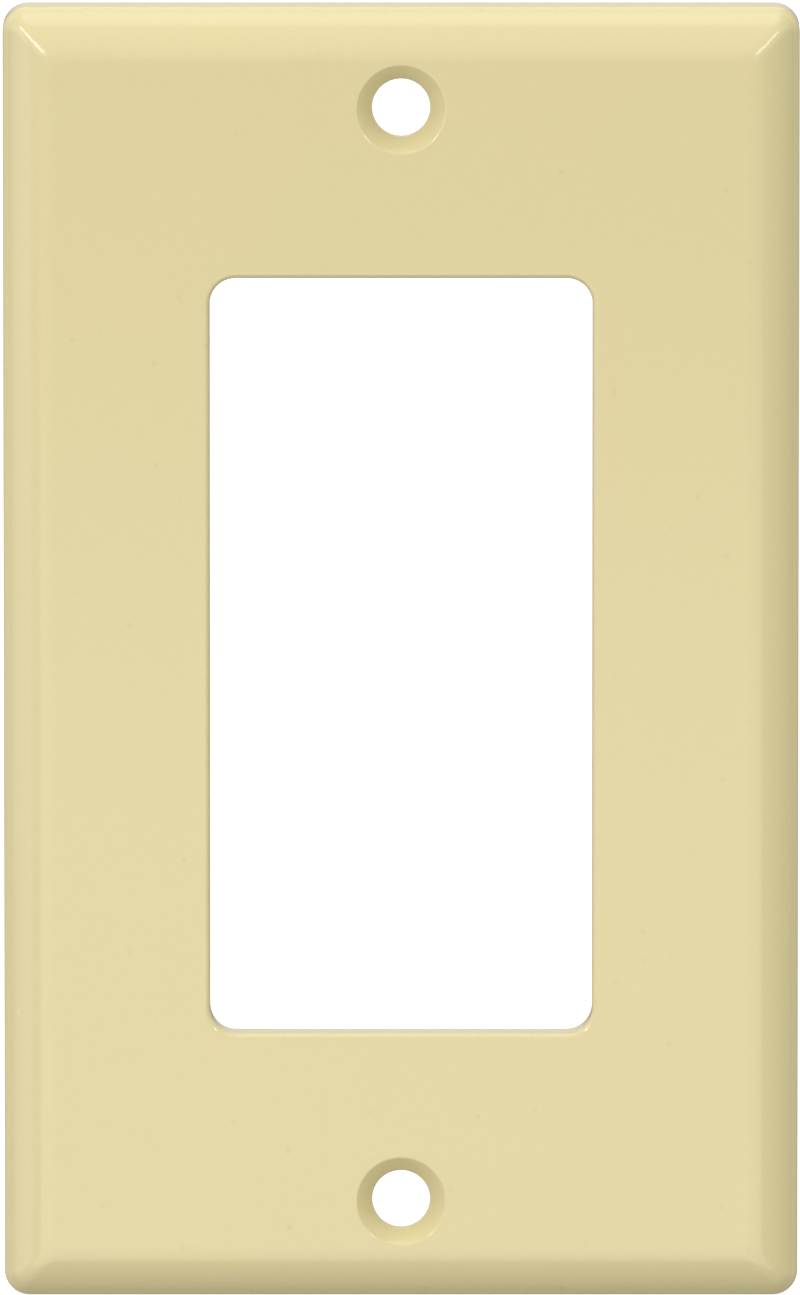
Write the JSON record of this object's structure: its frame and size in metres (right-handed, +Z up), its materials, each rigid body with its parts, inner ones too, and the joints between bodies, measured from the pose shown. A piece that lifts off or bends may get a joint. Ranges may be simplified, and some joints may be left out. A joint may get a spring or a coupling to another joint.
{
  "type": "decorator wall plate",
  "caption": "Ivory one-gang wall plate with a sloping border, a rectangular opening for a rocker-style device and countersunk screw holes above and below it.",
  "frame": {"origin": "centre of the plane of the back rim, where the plate meets the wall", "axes": "+Z up along the plate's height, +Y into the wall with the face looking along -Y, +X to the right of someone who faces the plate"},
  "size_m": [0.0698, 0.0063, 0.1142],
  "materials": {
    "plastic": "ivory moulded thermoplastic, semi-gloss face and border, duller back"
  },
  "bodies": {
    "root": {"wall_plate": "plastic"}
  },
  "joints": []
}
